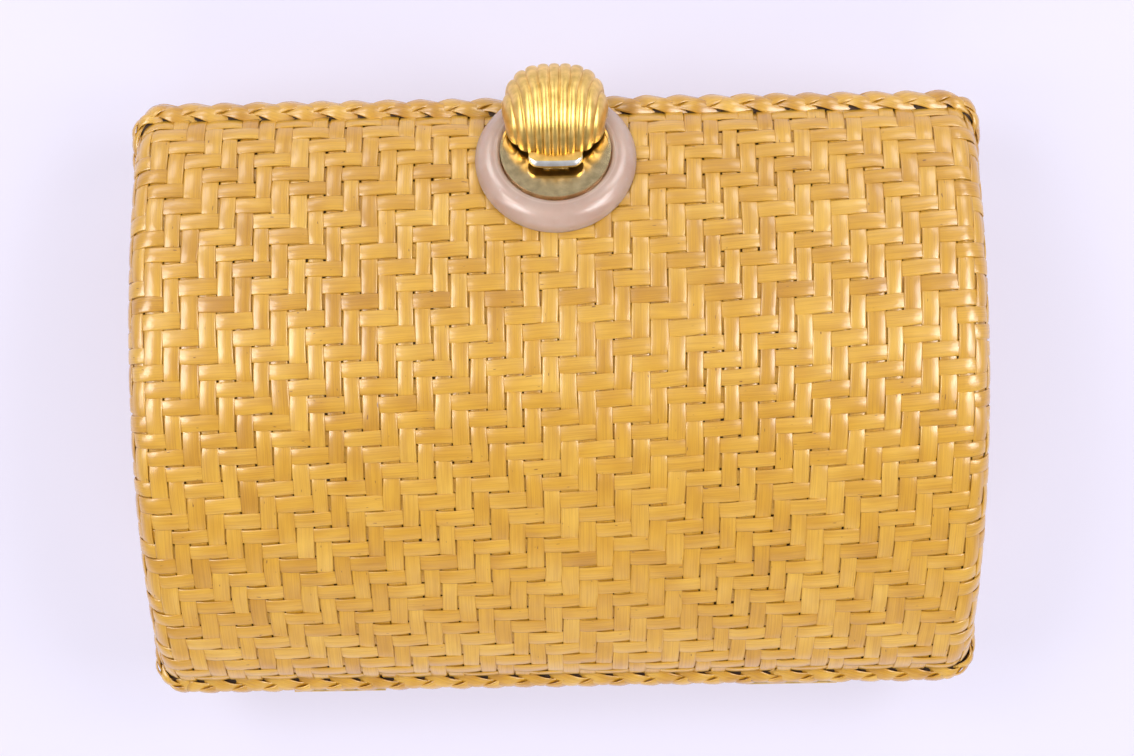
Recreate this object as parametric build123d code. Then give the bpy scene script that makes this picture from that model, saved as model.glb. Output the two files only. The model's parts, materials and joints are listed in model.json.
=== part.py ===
from build123d import *
import math
import os
from collections import namedtuple

# A hard box bag woven from flat straw strips: a front and a back half, hinged along the lower
# edge and held shut at the middle of the upper edge by a fluted rocking clasp on a stone ring.
# The bag lies on its back. X runs along its width, +Y towards the clasp edge and +Z out of the
# front. The origin is at the middle of the flat back, on the surface that the bag lies on.

# Box: overall sizes and the section of the two woven halves
BAG_WIDTH = 212.0
BAG_HEIGHT = 145.8
END_RADIUS = 6.5
BACK_FLAT = 22.5
FRONT_FLAT = 0.0
EDGE_RADIUS = 18.0
CROWN_ANGLE = 36.0
EDGE_ANGLE = 70.0
END_TURNS = (90, 60, 30, 0)
WALL = 1.6
LINING = 1.0
LINING_GAP = 0.3

# Weave: rows run along X, columns along Y, and each float passes over two columns
ROW_PITCH = 4.4
TWILL_COLUMNS = 4
FLOAT_COLUMNS = 2
COLUMN_PITCH = 4.4
PAD_RISE = 0.5
PAD_SINK = 0.2
PAD_GAP = 0.5
GROOVE_DEPTH = 0.5
GROOVE_WIDTH = 1.2

# Rims: on each half a flat band at the parting plane, and a plait of folded strips over it
RIM_HEIGHT = 5.0
RIM_BAND = 2.2
RIM_LEDGE = 3.3
RIM_PROUD = 4.0
RIM_END_PROUD = 1.7
RIM_GAP = 0.15
PLAIT_PITCH = 8.3
PLAIT_DEPTH = 1.0

# Side gussets: cloth triangles folded flat between the halves
GUSSET_THICKNESS = 1.2
GUSSET_FOLD = 68.0
GUSSET_END_GAP = 6.0
GUSSET_CLEARANCE = 0.3

# Hinges: two brass butt hinges let into the rims
HINGE_SPREAD = 60.0
HINGE_PROUD = 0.1
KNUCKLE_RADIUS = 1.3
KNUCKLE_LENGTH = 8.0
KNUCKLE_GAP = 0.1
HINGE_PIN_RADIUS = 0.6
RUNNING_CLEARANCE = 0.05
LEAF_THICKNESS = 0.8
LEAF_REACH = 5.0
LEAF_GAP = 0.1
LEAF_CLEARANCE = 0.2
MORTISE_CLEARANCE = 0.15
NAIL_RADIUS = 0.8
NAIL_LENGTH = 3.6
NAIL_CLEARANCE = 0.05
NAIL_SPREAD = 8.0

# Clasp seat: a plane tilted towards the upper edge, with its origin in from and above the rim
CLASP_INSET = 11.8
CLASP_RISE = 9.5
CLASP_TILT = 35.0
STONE_RADIUS = 20.3
STONE_BORE = 13.9
STONE_TOP = 6.0
STONE_SHOULDER = 4.4
STONE_LIP = 1.2
SEAT_GAP = 0.15
PLATE_TOP = 6.0
BEZEL_RADIUS = 13.75
BEZEL_WIDTH = 0.55
BEZEL_TOP = 6.7
SKIRT_DEPTH = 1.5
STUD_RADIUS = 2.0
STUD_END = 5.2
STUD_CLEARANCE = 0.15
WASHER_RADIUS = 7.5
WASHER_BASE = 2.2
WASHER_BLANK = 6.0
NUT_RADIUS = 4.2
NUT_HEIGHT = 2.2

# Clasp rocker: a fluted dome with a thumb tab, two lugs and a claw, on a pin in two ears
DOME_RADIUS = 13.5
DOME_WALL = 1.5
DOME_MIDDLE = 9.7
DOME_CENTRE_HEIGHT = 6.2
DOME_BASE = 7.6
RIBS = 11
RIB_PITCH = 2.4
RIB_FAN = 25.5
RIB_DEPTH = 0.6
TAB_WIDTH = 13.0
TAB_LENGTH = 3.7
TAB_BASE = 7.6
TAB_THICKNESS = 1.5
TAB_CORNER = 2.0
PIVOT_ALONG = 8.0
PIVOT_HEIGHT = 9.6
PIVOT_RADIUS = 1.0
PIVOT_HALF_LENGTH = 8.9
PIVOT_SEAT_CLEARANCE = 0.02
EAR_SPREAD = 5.3
EAR_THICKNESS = 1.6
LUG_SPREAD = 7.5
LUG_THICKNESS = 1.4
EYE_RADIUS = 2.2
CLAW_WIDTH = 9.0
CLAW_THICKNESS = 2.2
CLAW_OFFSET = 3.0
CLAW_DROP = 3.6
CLAW_REACH = 7.8
NIB_DEPTH = 2.4
NIB_HEIGHT = 1.5

# Spring catch on the back rim, and the leaf spring under the thumb tab
CATCH_WIDTH = 14.0
CATCH_THICKNESS = 0.5
CATCH_TOP = 0.9
CATCH_HEIGHT = 4.1
LEDGE_DEPTH = 0.4
LEDGE_HEIGHT = 1.0
CATCH_NAIL_SPREAD = 6.0
CATCH_NAIL_DROP = 3.9
SPRING_WIDTH = 6.0
SPRING_THICKNESS = 0.4
SPRING_HEEL = 12.0
SPRING_BEND = 2.0
SPRING_TIP_INSET = 1.4
SPRING_TIP_GAP = 0.1
SPRING_RIVET_ALONG = 10.6
SPRING_RIVET_RADIUS = 0.7
SPRING_RIVET_HEAD = 1.2
SPRING_RIVET_CROWN = 0.4
SPRING_RIVET_LENGTH = 2.0

# How far a cutting solid runs past what it cuts
OVERRUN = 6.0

Half = namedtuple("Half", "flat apex way")


def crown_radius(flat):
    """Radius of the wide crown beside the flat middle of a section."""
    crown_rise = math.sin(math.radians(CROWN_ANGLE))
    edge_rise = math.sin(math.radians(EDGE_ANGLE)) - crown_rise
    return (BAG_HEIGHT / 2 - flat - EDGE_RADIUS * edge_rise) / crown_rise


def wall_depth(flat):
    """How far a half's wall falls from its middle to its rim."""
    crown_cosine = math.cos(math.radians(CROWN_ANGLE))
    edge_cosine = math.cos(math.radians(EDGE_ANGLE))
    return crown_radius(flat) * (1 - crown_cosine) + EDGE_RADIUS * (crown_cosine - edge_cosine)


def half_girth(flat):
    """Length of the section from its middle to the rim."""
    edge_turn = math.radians(EDGE_ANGLE - CROWN_ANGLE)
    return flat + crown_radius(flat) * math.radians(CROWN_ANGLE) + EDGE_RADIUS * edge_turn


PARTING = wall_depth(BACK_FLAT) + RIM_HEIGHT + RIM_GAP
FRONT_APEX = PARTING + RIM_GAP + RIM_HEIGHT + wall_depth(FRONT_FLAT)
FRONT = Half(FRONT_FLAT, FRONT_APEX, 1)
BACK = Half(BACK_FLAT, 0, -1)
COLUMNS = math.floor((BAG_WIDTH - 2 * END_RADIUS) / COLUMN_PITCH)
RIM_HALF_X = BAG_WIDTH / 2 + RIM_END_PROUD
RIM_HALF_Y = BAG_HEIGHT / 2 + RIM_PROUD
RIM_CORNER = END_RADIUS + RIM_END_PROUD
RIM_INNER_X = BAG_WIDTH / 2 - RIM_LEDGE
RIM_INNER_Y = BAG_HEIGHT / 2 - RIM_LEDGE
HINGE_Y = -(RIM_HALF_Y + HINGE_PROUD)
HINGE_LENGTH = 3 * KNUCKLE_LENGTH + 2 * KNUCKLE_GAP
PLATE_START = HINGE_Y + KNUCKLE_RADIUS + LEAF_CLEARANCE
PLATE_END = PLATE_START + LEAF_REACH
CLASP_ORIGIN = Vector(0, BAG_HEIGHT / 2 - CLASP_INSET, PARTING + RIM_GAP + RIM_HEIGHT + CLASP_RISE)
CLASP_NORMAL = Vector(0, math.sin(math.radians(CLASP_TILT)), math.cos(math.radians(CLASP_TILT)))
CLASP_SEAT = Plane(origin=CLASP_ORIGIN, x_dir=(1, 0, 0), z_dir=CLASP_NORMAL).location
CLAW_FACE = RIM_HALF_Y + CLAW_OFFSET
TAB_ROOT = DOME_RADIUS - DOME_WALL - DOME_MIDDLE
TAB_END = TAB_ROOT + TAB_LENGTH
SPRING_TIP = TAB_END - SPRING_TIP_INSET


def skin_point(flat, along, out):
    """Point of a section, `along` it from its middle and `out` from its skin, as y and drop."""
    radius = crown_radius(flat)
    crown_turn = math.radians(CROWN_ANGLE)
    reach = abs(along)
    side = math.copysign(1, along)
    if reach <= flat:
        return along, out
    turn = (reach - flat) / radius
    if turn <= crown_turn:
        return side * (flat + (radius + out) * math.sin(turn)), (radius + out) * math.cos(turn) - radius
    turn = crown_turn + (reach - flat - radius * crown_turn) / EDGE_RADIUS
    middle_y = flat + (radius - EDGE_RADIUS) * math.sin(crown_turn)
    middle_z = (radius - EDGE_RADIUS) * math.cos(crown_turn) - radius
    y = middle_y + (EDGE_RADIUS + out) * math.sin(turn)
    return side * y, middle_z + (EDGE_RADIUS + out) * math.cos(turn)


def row_edges(flat):
    """Where the woven rows meet, measured along the section, with whole rows on each arc."""
    crown_end = flat + crown_radius(flat) * math.radians(CROWN_ANGLE)
    turns = [-half_girth(flat), -crown_end, -flat, flat, crown_end, half_girth(flat)]
    if not flat:
        turns = [turns[0], turns[1], turns[-2], turns[-1]]
    edges = [turns[0]]
    for start, end in zip(turns, turns[1:]):
        rows = math.ceil((end - start) / ROW_PITCH)
        edges.extend(start + (end - start) * (row + 1) / rows for row in range(rows))
    return edges


def section_ring(half, x, out):
    """Closed section of a half at x, moved `out` from its skin, with feet that run past the rim."""
    points = [skin_point(half.flat, along, out) for along in row_edges(half.flat)]
    foot_y = OVERRUN * math.cos(math.radians(EDGE_ANGLE))
    foot_z = OVERRUN * math.sin(math.radians(EDGE_ANGLE))
    first = (points[0][0] - foot_y, points[0][1] - foot_z)
    last = (points[-1][0] + foot_y, points[-1][1] - foot_z)
    return [(x, y, half.apex + half.way * z) for y, z in [first, *points, last]]


def prism_solid(rings):
    """Solid with flat sides through a row of closed rings that have parallel edges."""
    faces = [Face(Wire.make_polygon(rings[0])), Face(Wire.make_polygon(rings[-1]))]
    for near, far in zip(rings, rings[1:]):
        for corner in range(len(near)):
            side = (near[corner - 1], near[corner], far[corner], far[corner - 1])
            faces.append(Face(Wire.make_polygon(side)))
    return Solid(Shell(faces))


def block(low, high):
    """Box between two corners."""
    size = [b - a for a, b in zip(low, high)]
    middle = [(a + b) / 2 for a, b in zip(low, high)]
    return Pos(*middle) * Box(*size)


def whole_body(half, inset):
    """Full body of a half, `inset` from its woven skin, with feet that run past its rim."""
    reach = END_RADIUS - inset
    stations = []
    for turn in END_TURNS:
        angle = math.radians(turn)
        x = BAG_WIDTH / 2 - inset - reach * (1 - math.sin(angle))
        stations.append((x, -inset - reach * (1 - math.cos(angle))))
    places = [(-x, out) for x, out in stations] + [(x, out) for x, out in reversed(stations)]
    return prism_solid([section_ring(half, x, out) for x, out in places])


def half_body(half, inset):
    """Body of a half, `inset` from its woven skin, cut off flat at its rim."""
    rim_level = half.apex - half.way * wall_depth(half.flat)
    far_level = half.apex + half.way * OVERRUN
    low = (-BAG_WIDTH, -BAG_HEIGHT, min(rim_level, far_level))
    high = (BAG_WIDTH, BAG_HEIGHT, max(rim_level, far_level))
    return whole_body(half, inset) & block(low, high)


def facet_plane(half, row):
    """Plane on the flat face of a woven row, facing out, and the row's width."""
    edges = row_edges(half.flat)
    low_y, low_z = skin_point(half.flat, edges[row], 0)
    high_y, high_z = skin_point(half.flat, edges[row + 1], 0)
    rise = half.way * (high_z - low_z)
    middle = (0, (low_y + high_y) / 2, half.apex + half.way * (low_z + high_z) / 2)
    normal = (0, -half.way * rise, half.way * (high_y - low_y))
    return Plane(origin=middle, x_dir=(1, 0, 0), z_dir=normal), math.hypot(high_y - low_y, rise)


def weave_floats(half):
    """Raised floats of a two-over-two twill that steps one column to the right with each row down."""
    floats = []
    first_x = -COLUMNS * COLUMN_PITCH / 2
    height = PAD_RISE + PAD_SINK
    rows = len(row_edges(half.flat)) - 1
    for row in range(rows):
        facet, width = facet_plane(half, rows - 1 - row)
        for column in range(row % TWILL_COLUMNS - TWILL_COLUMNS, COLUMNS, TWILL_COLUMNS):
            start = max(column, 0)
            end = min(column + FLOAT_COLUMNS, COLUMNS)
            if end <= start:
                continue
            middle_x = first_x + COLUMN_PITCH * (start + end) / 2
            length = COLUMN_PITCH * (end - start) - PAD_GAP
            pad = Box(length, width - PAD_GAP, height)
            floats.append(facet.location * Pos(middle_x, 0, (PAD_RISE - PAD_SINK) / 2) * pad)
    return floats


def row_grooves(half):
    """V-shaped grooves between neighbouring rows, along the whole width."""
    grooves = []
    for along in row_edges(half.flat)[1:-1]:
        inner = skin_point(half.flat, along, -GROOVE_DEPTH)
        outer = [skin_point(half.flat, along + side * GROOVE_WIDTH / 2, PAD_RISE) for side in (-1, 1)]
        corners = [inner, *outer]
        points = [(-BAG_WIDTH, y, half.apex + half.way * z) for y, z in corners]
        face = Face(Wire.make_polygon(points))
        grooves.append(Solid.extrude(face, (2 * BAG_WIDTH, 0, 0)))
    return grooves


def on_clasp(solid, along=0, height=0, x=0):
    """Place a solid on the tilted clasp seat."""
    return CLASP_SEAT * Pos(x, along, height) * solid


def clasp_post(radius, low, high):
    """Upright cylinder on the clasp seat's axis."""
    return on_clasp(Cylinder(radius, high - low), height=(low + high) / 2)


def cross_rod(radius, length):
    """Cylinder along X."""
    return Rot(0, 90, 0) * Cylinder(radius, length)


def woven_front():
    shell = half_body(FRONT, 0) - half_body(FRONT, WALL)
    shell = shell.fuse(*weave_floats(FRONT))
    return shell - stud_hole()


def woven_back():
    shell = half_body(BACK, 0) - half_body(BACK, WALL)
    return shell.cut(*row_grooves(BACK))


def lining(half):
    inset = WALL + LINING_GAP
    tray = half_body(half, inset) - half_body(half, inset + LINING)
    return tray - stud_hole() if half is FRONT else tray


def stud_hole():
    return clasp_post(STUD_RADIUS + STUD_CLEARANCE, -STUD_END - OVERRUN, PLATE_TOP)


def rim_point(along, inset):
    """Point of the rims' rounded outline, `along` it from the lower left, moved in by `inset`."""
    centre_x = RIM_HALF_X - RIM_CORNER
    centre_y = RIM_HALF_Y - RIM_CORNER
    starts = ((-centre_x, -centre_y), (centre_x, -centre_y), (centre_x, centre_y), (-centre_x, centre_y))
    corner = RIM_CORNER * math.pi / 2
    for quarter, (start_x, start_y) in enumerate(starts):
        straight = 2 * (centre_y if quarter % 2 else centre_x)
        heading = quarter * math.pi / 2
        if along < straight + corner:
            break
        along -= straight + corner
    run = min(along, straight)
    normal = heading - math.pi / 2 + max(along - straight, 0) / RIM_CORNER
    x = start_x + run * math.cos(heading) + (RIM_CORNER - inset) * math.cos(normal)
    y = start_y + run * math.sin(heading) + (RIM_CORNER - inset) * math.sin(normal)
    return x, y


def plait(low, high):
    """Plaited layer of a rim: its folds stand out at each pitch and fall back between."""
    straight = 4 * (RIM_HALF_X + RIM_HALF_Y - 2 * RIM_CORNER)
    girth = straight + 2 * math.pi * RIM_CORNER
    folds = round(girth / PLAIT_PITCH)
    points = []
    for half_step in range(2 * folds):
        x, y = rim_point(half_step * girth / (2 * folds), PLAIT_DEPTH * (half_step % 2))
        points.append((x, y, low))
    return Solid.extrude(Face(Wire.make_polygon(points)), (0, 0, high - low))


def hinge_places():
    return {"left": -HINGE_SPREAD, "right": HINGE_SPREAD}


def rim(half):
    """Plaited rim of a half, with the hinges' mortises and nail holes."""
    near = PARTING + half.way * RIM_GAP
    middle = near + half.way * RIM_BAND
    far = near + half.way * RIM_HEIGHT
    band = extrude(RectangleRounded(2 * RIM_HALF_X, 2 * RIM_HALF_Y, RIM_CORNER), middle - near)
    body = (Pos(0, 0, near) * band).fuse(plait(middle, far))
    inner_corner = END_RADIUS - RIM_LEDGE
    opening = extrude(RectangleRounded(2 * RIM_INNER_X, 2 * RIM_INNER_Y, inner_corner), OVERRUN, both=True)
    cuts = [Pos(0, 0, (near + far) / 2) * opening]
    for place in hinge_places().values():
        half_length = HINGE_LENGTH / 2 + MORTISE_CLEARANCE
        depth = half.way * (LEAF_GAP + LEAF_THICKNESS + MORTISE_CLEARANCE)
        low = (place - half_length, HINGE_Y - OVERRUN, min(PARTING, PARTING + depth))
        high = (place + half_length, PLATE_END + MORTISE_CLEARANCE, max(PARTING, PARTING + depth))
        cuts.append(block(low, high))
        barrel = cross_rod(KNUCKLE_RADIUS + LEAF_CLEARANCE, 2 * half_length)
        cuts.append(Pos(place, HINGE_Y, PARTING) * barrel)
        cuts.extend(hinge_nails(half, place, NAIL_RADIUS + NAIL_CLEARANCE))
    if half is BACK:
        cuts.extend(catch_nails(NAIL_RADIUS + NAIL_CLEARANCE))
    return body.cut(*cuts)


def gusset(side):
    """Cloth triangle folded flat between the halves, deepest at the clasp end."""
    outer = side * (RIM_INNER_X - GUSSET_CLEARANCE)
    inner = outer - side * GUSSET_FOLD
    end = RIM_INNER_Y - END_RADIUS - GUSSET_END_GAP
    low = PARTING - GUSSET_THICKNESS / 2
    point = outer - side * GUSSET_THICKNESS
    outline = [(outer, -end, low), (outer, end, low), (inner, end, low), (point, -end, low)]
    return Solid.extrude(Face(Wire.make_polygon(outline)), (0, 0, GUSSET_THICKNESS))


def hinge_leaf(half, place):
    """Leaf with its knuckles: two outer ones on the back, the middle one on the front."""
    step = KNUCKLE_LENGTH + KNUCKLE_GAP
    offsets = (0,) if half is FRONT else (-step, step)
    near = PARTING + half.way * LEAF_GAP
    far = near + half.way * LEAF_THICKNESS
    low_z, high_z = sorted((near, far))
    half_length = HINGE_LENGTH / 2
    plate = block((place - half_length, PLATE_START, low_z), (place + half_length, PLATE_END, high_z))
    pieces = []
    for offset in offsets:
        middle = place + offset
        half_knuckle = KNUCKLE_LENGTH / 2
        web_low = (middle - half_knuckle, HINGE_Y, low_z)
        web_high = (middle + half_knuckle, PLATE_START + LEAF_THICKNESS, high_z)
        pieces.append(block(web_low, web_high))
        pieces.append(Pos(middle, HINGE_Y, PARTING) * cross_rod(KNUCKLE_RADIUS, KNUCKLE_LENGTH))
    bore = Pos(place, HINGE_Y, PARTING) * cross_rod(HINGE_PIN_RADIUS + RUNNING_CLEARANCE, 2 * HINGE_LENGTH)
    return plate.fuse(*pieces).cut(bore, *hinge_nails(half, place, NAIL_RADIUS + NAIL_CLEARANCE))


def hinge_pin(place):
    return Pos(place, HINGE_Y, PARTING) * cross_rod(HINGE_PIN_RADIUS, HINGE_LENGTH)


def hinge_nails(half, place, radius):
    """Two flush nails through a leaf into its rim."""
    near = PARTING + half.way * LEAF_GAP
    middle_z = near + half.way * NAIL_LENGTH / 2
    y = (PLATE_START + PLATE_END) / 2
    nail = Cylinder(radius, NAIL_LENGTH)
    return [Pos(place + side * NAIL_SPREAD, y, middle_z) * nail for side in (-1, 1)]


def stone_ring():
    height = STONE_TOP + SKIRT_DEPTH
    blank = Cylinder(STONE_RADIUS, height) - Cylinder(STONE_BORE, height)
    top_edges = blank.edges().group_by(Axis.Z)[-1].sort_by(SortBy.RADIUS)
    blank = fillet(top_edges[-1], STONE_SHOULDER)
    lip = blank.edges().group_by(Axis.Z)[-1].sort_by(SortBy.RADIUS)[0]
    blank = fillet(lip, STONE_LIP)
    ring = on_clasp(blank, height=STONE_TOP - height / 2)
    return ring - whole_body(FRONT, -(PAD_RISE + SEAT_GAP)) - above_rim()


def above_rim():
    """Block up to just above the front rim, which cuts back what would meet it."""
    rim_top = PARTING + RIM_GAP + RIM_HEIGHT + SEAT_GAP
    return block((-BAG_WIDTH, -BAG_HEIGHT, PARTING), (BAG_WIDTH, BAG_HEIGHT, rim_top))


def pivot_rod(radius, length):
    return on_clasp(cross_rod(radius, length), PIVOT_ALONG, PIVOT_HEIGHT)


def eye_arm(x, thickness, end):
    """Upright cheek around the pivot, from its round eye to `end` above or below."""
    low, high = sorted((PIVOT_HEIGHT, end))
    cheek = on_clasp(Box(thickness, 2 * EYE_RADIUS, high - low), PIVOT_ALONG, (low + high) / 2, x)
    return cheek.fuse(on_clasp(cross_rod(EYE_RADIUS, thickness), PIVOT_ALONG, PIVOT_HEIGHT, x))


def clasp_plate():
    """Polished dish with its bezel, the pivot's ears and the threaded stud."""
    dish = clasp_post(BEZEL_RADIUS, -SKIRT_DEPTH, BEZEL_TOP)
    dish = dish - clasp_post(BEZEL_RADIUS - BEZEL_WIDTH, PLATE_TOP, BEZEL_TOP + OVERRUN)
    dish = dish - whole_body(FRONT, -(PAD_RISE + SEAT_GAP))
    ears = [eye_arm(side * EAR_SPREAD, EAR_THICKNESS, PLATE_TOP - BEZEL_WIDTH) for side in (-1, 1)]
    stud = clasp_post(STUD_RADIUS, -STUD_END, PLATE_TOP)
    bore = pivot_rod(PIVOT_RADIUS + PIVOT_SEAT_CLEARANCE, 2 * PIVOT_HALF_LENGTH)
    rivet_hole = on_clasp(
        Cylinder(SPRING_RIVET_RADIUS + NAIL_CLEARANCE, 2 * SPRING_RIVET_LENGTH),
        SPRING_RIVET_ALONG,
        PLATE_TOP,
    )
    return dish.fuse(stud, *ears).cut(bore, rivet_hole)


def backing_washer():
    """Washer that follows the lining's inner face around the stud."""
    blank = clasp_post(WASHER_RADIUS, -WASHER_BASE, WASHER_BLANK)
    washer = blank & half_body(FRONT, WALL + LINING_GAP + LINING)
    return washer - stud_hole()


def clasp_nut():
    nut = extrude(RegularPolygon(NUT_RADIUS, 6), NUT_HEIGHT) - Cylinder(
        STUD_RADIUS + RUNNING_CLEARANCE, 2 * NUT_HEIGHT
    )
    return on_clasp(nut, height=-WASHER_BASE - NUT_HEIGHT)


def rib_groove(number):
    """V-shaped ring that cuts one groove, in a plane fanned from a line beyond the thumb tab."""
    reach = DOME_MIDDLE + RIB_FAN
    fan = math.atan2((number + 1 - RIBS / 2) * RIB_PITCH, reach)
    offset = reach * math.sin(fan)
    circle = math.sqrt(DOME_RADIUS**2 - offset**2)
    half_width = RIB_PITCH / 2
    profile = Wire.make_polygon(
        [
            (circle - RIB_DEPTH, 0, 0),
            (circle + RIB_DEPTH, 0, half_width),
            (circle + RIB_DEPTH, 0, -half_width),
        ]
    )
    ring = Solid.revolve(Face(profile), 360, Axis.Z)
    flat_ring = Pos(offset * math.cos(fan), -offset * math.sin(fan), 0) * Rot(0, 0, -math.degrees(fan))
    return flat_ring * Rot(0, 90, 0) * ring


def clasp_rocker():
    """Fluted dome with its thumb tab, pivot lugs and the claw that hooks the catch."""
    dome = Solid.make_sphere(DOME_RADIUS)
    dome = dome.cut(*[rib_groove(number) for number in range(RIBS - 1)])
    hollow = Solid.make_sphere(DOME_RADIUS - DOME_WALL)
    dome = on_clasp(dome - hollow, DOME_MIDDLE, DOME_CENTRE_HEIGHT)
    below = on_clasp(
        Box(4 * DOME_RADIUS, 4 * DOME_RADIUS, 2 * DOME_RADIUS), DOME_MIDDLE, DOME_BASE - DOME_RADIUS
    )
    dome = dome - below
    envelope = on_clasp(Solid.make_sphere(DOME_RADIUS - DOME_WALL / 2), DOME_MIDDLE, DOME_CENTRE_HEIGHT)
    lugs = [eye_arm(side * LUG_SPREAD, LUG_THICKNESS, DOME_BASE + DOME_RADIUS) & envelope for side in (-1, 1)]
    tab = extrude(Rectangle(TAB_WIDTH, TAB_LENGTH), TAB_THICKNESS)
    tab = fillet(tab.edges().filter_by(Axis.Z).group_by(Axis.Y)[0], TAB_CORNER)
    tab = on_clasp(tab, -(TAB_END + TAB_ROOT) / 2, TAB_BASE)
    dome_middle = CLASP_SEAT * Pos(0, DOME_MIDDLE, DOME_CENTRE_HEIGHT)
    claw_top = dome_middle.position.Z + CLAW_REACH
    half_width = CLAW_WIDTH / 2
    claw_foot = PARTING - CLAW_DROP
    claw = block((-half_width, CLAW_FACE, claw_foot), (half_width, CLAW_FACE + CLAW_THICKNESS, claw_top))
    nib = block((-half_width, CLAW_FACE - NIB_DEPTH, claw_foot), (half_width, CLAW_FACE, claw_foot + NIB_HEIGHT))
    rocker = dome.fuse(*lugs, tab, claw, nib)
    return rocker - pivot_rod(PIVOT_RADIUS + RUNNING_CLEARANCE, 4 * PIVOT_HALF_LENGTH)


def catch_nails(radius):
    """Two flush nails that hold the catch to the back rim."""
    face = RIM_HALF_Y + CATCH_THICKNESS
    nail = Rot(90, 0, 0) * Cylinder(radius, NAIL_LENGTH)
    z = PARTING - CATCH_NAIL_DROP
    return [Pos(side * CATCH_NAIL_SPREAD, face - NAIL_LENGTH / 2, z) * nail for side in (-1, 1)]


def catch_leaf():
    """Thin sprung plate on the back rim, with a ledge that the claw's nib hooks under."""
    half_width = CATCH_WIDTH / 2
    top = PARTING - CATCH_TOP
    face = RIM_HALF_Y + CATCH_THICKNESS
    plate = block((-half_width, RIM_HALF_Y, top - CATCH_HEIGHT), (half_width, face, top))
    ledge = block((-half_width, face, top - LEDGE_HEIGHT), (half_width, face + LEDGE_DEPTH, top))
    return plate.fuse(ledge).cut(*catch_nails(NAIL_RADIUS + NAIL_CLEARANCE))


def return_spring():
    """Bent leaf from a foot on the plate up to the thumb tab."""
    tip_height = TAB_BASE - SPRING_TIP_GAP
    outline = [
        (SPRING_HEEL, PLATE_TOP),
        (SPRING_HEEL, PLATE_TOP + SPRING_THICKNESS),
        (SPRING_BEND, PLATE_TOP + SPRING_THICKNESS),
        (-SPRING_TIP, tip_height),
        (-SPRING_TIP, tip_height - SPRING_THICKNESS),
        (SPRING_BEND, PLATE_TOP),
    ]
    points = [(-SPRING_WIDTH / 2, along, height) for along, height in outline]
    strip = Solid.extrude(Face(Wire.make_polygon(points)), (SPRING_WIDTH, 0, 0))
    hole = Pos(0, SPRING_RIVET_ALONG, PLATE_TOP) * Cylinder(
        SPRING_RIVET_RADIUS + NAIL_CLEARANCE, 2 * SPRING_RIVET_LENGTH
    )
    return on_clasp(strip - hole)


def spring_rivet():
    seat = PLATE_TOP + SPRING_THICKNESS
    shank_foot = seat - SPRING_RIVET_LENGTH
    shank = on_clasp(
        Cylinder(SPRING_RIVET_RADIUS, SPRING_RIVET_LENGTH), SPRING_RIVET_ALONG, (seat + shank_foot) / 2
    )
    head = on_clasp(
        Cylinder(SPRING_RIVET_HEAD, SPRING_RIVET_CROWN), SPRING_RIVET_ALONG, seat + SPRING_RIVET_CROWN / 2
    )
    return shank.fuse(head)


def build_pieces():
    pieces = {
        "front_shell": woven_front(),
        "back_shell": woven_back(),
        "front_rim": rim(FRONT),
        "back_rim": rim(BACK),
        "front_lining": lining(FRONT),
        "back_lining": lining(BACK),
        "left_gusset": gusset(-1),
        "right_gusset": gusset(1),
        "stone_ring": stone_ring(),
        "clasp_plate": clasp_plate(),
        "backing_washer": backing_washer(),
        "clasp_nut": clasp_nut(),
        "pivot_pin": pivot_rod(PIVOT_RADIUS, 2 * PIVOT_HALF_LENGTH),
        "clasp_rocker": clasp_rocker(),
        "return_spring": return_spring(),
        "spring_rivet": spring_rivet(),
        "catch_leaf": catch_leaf(),
        "catch_nails": Compound(children=catch_nails(NAIL_RADIUS)),
    }
    for half, half_name in ((FRONT, "front"), (BACK, "back")):
        nails = []
        for side, place in hinge_places().items():
            pieces[f"{side}_hinge_{half_name}_leaf"] = hinge_leaf(half, place)
            nails.extend(hinge_nails(half, place, NAIL_RADIUS))
        pieces[f"{half_name}_hinge_nails"] = Compound(children=nails)
    for side, place in hinge_places().items():
        pieces[f"{side}_hinge_pin"] = hinge_pin(place)
    return pieces


os.makedirs("parts", exist_ok=True)
for name, piece in build_pieces().items():
    export_step(piece, f"parts/{name}.step")
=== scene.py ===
import itertools
import json
import math
from collections import namedtuple

import bpy
import numpy as np
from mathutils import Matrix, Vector


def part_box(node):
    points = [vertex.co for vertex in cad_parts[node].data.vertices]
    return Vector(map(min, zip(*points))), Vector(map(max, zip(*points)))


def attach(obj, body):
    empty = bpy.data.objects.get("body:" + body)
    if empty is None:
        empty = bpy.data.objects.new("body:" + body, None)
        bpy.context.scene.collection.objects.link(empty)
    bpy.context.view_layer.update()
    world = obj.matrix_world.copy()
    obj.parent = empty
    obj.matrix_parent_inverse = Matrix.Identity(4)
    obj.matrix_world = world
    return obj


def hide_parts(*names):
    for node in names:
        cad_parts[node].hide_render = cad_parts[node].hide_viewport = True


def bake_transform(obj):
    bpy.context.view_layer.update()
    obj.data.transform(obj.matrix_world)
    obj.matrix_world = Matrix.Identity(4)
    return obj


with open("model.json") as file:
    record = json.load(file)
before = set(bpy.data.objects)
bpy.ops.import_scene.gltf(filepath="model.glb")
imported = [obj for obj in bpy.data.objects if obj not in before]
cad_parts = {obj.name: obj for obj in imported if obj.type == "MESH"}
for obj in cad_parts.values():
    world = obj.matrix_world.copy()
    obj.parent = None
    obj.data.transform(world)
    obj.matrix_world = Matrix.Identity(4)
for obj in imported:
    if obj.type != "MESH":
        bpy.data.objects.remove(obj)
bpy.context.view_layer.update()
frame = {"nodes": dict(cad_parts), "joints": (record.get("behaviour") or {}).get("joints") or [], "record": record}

# Lengths are in millimetres until a mesh is made, which is in metres
MM = 0.001
SIDES = ((-1, "left"), (1, "right"))


def node_size(node):
    """Size of a CAD node along X, Y and Z, in millimetres."""
    low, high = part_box(node)
    return (high - low) / MM


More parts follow.
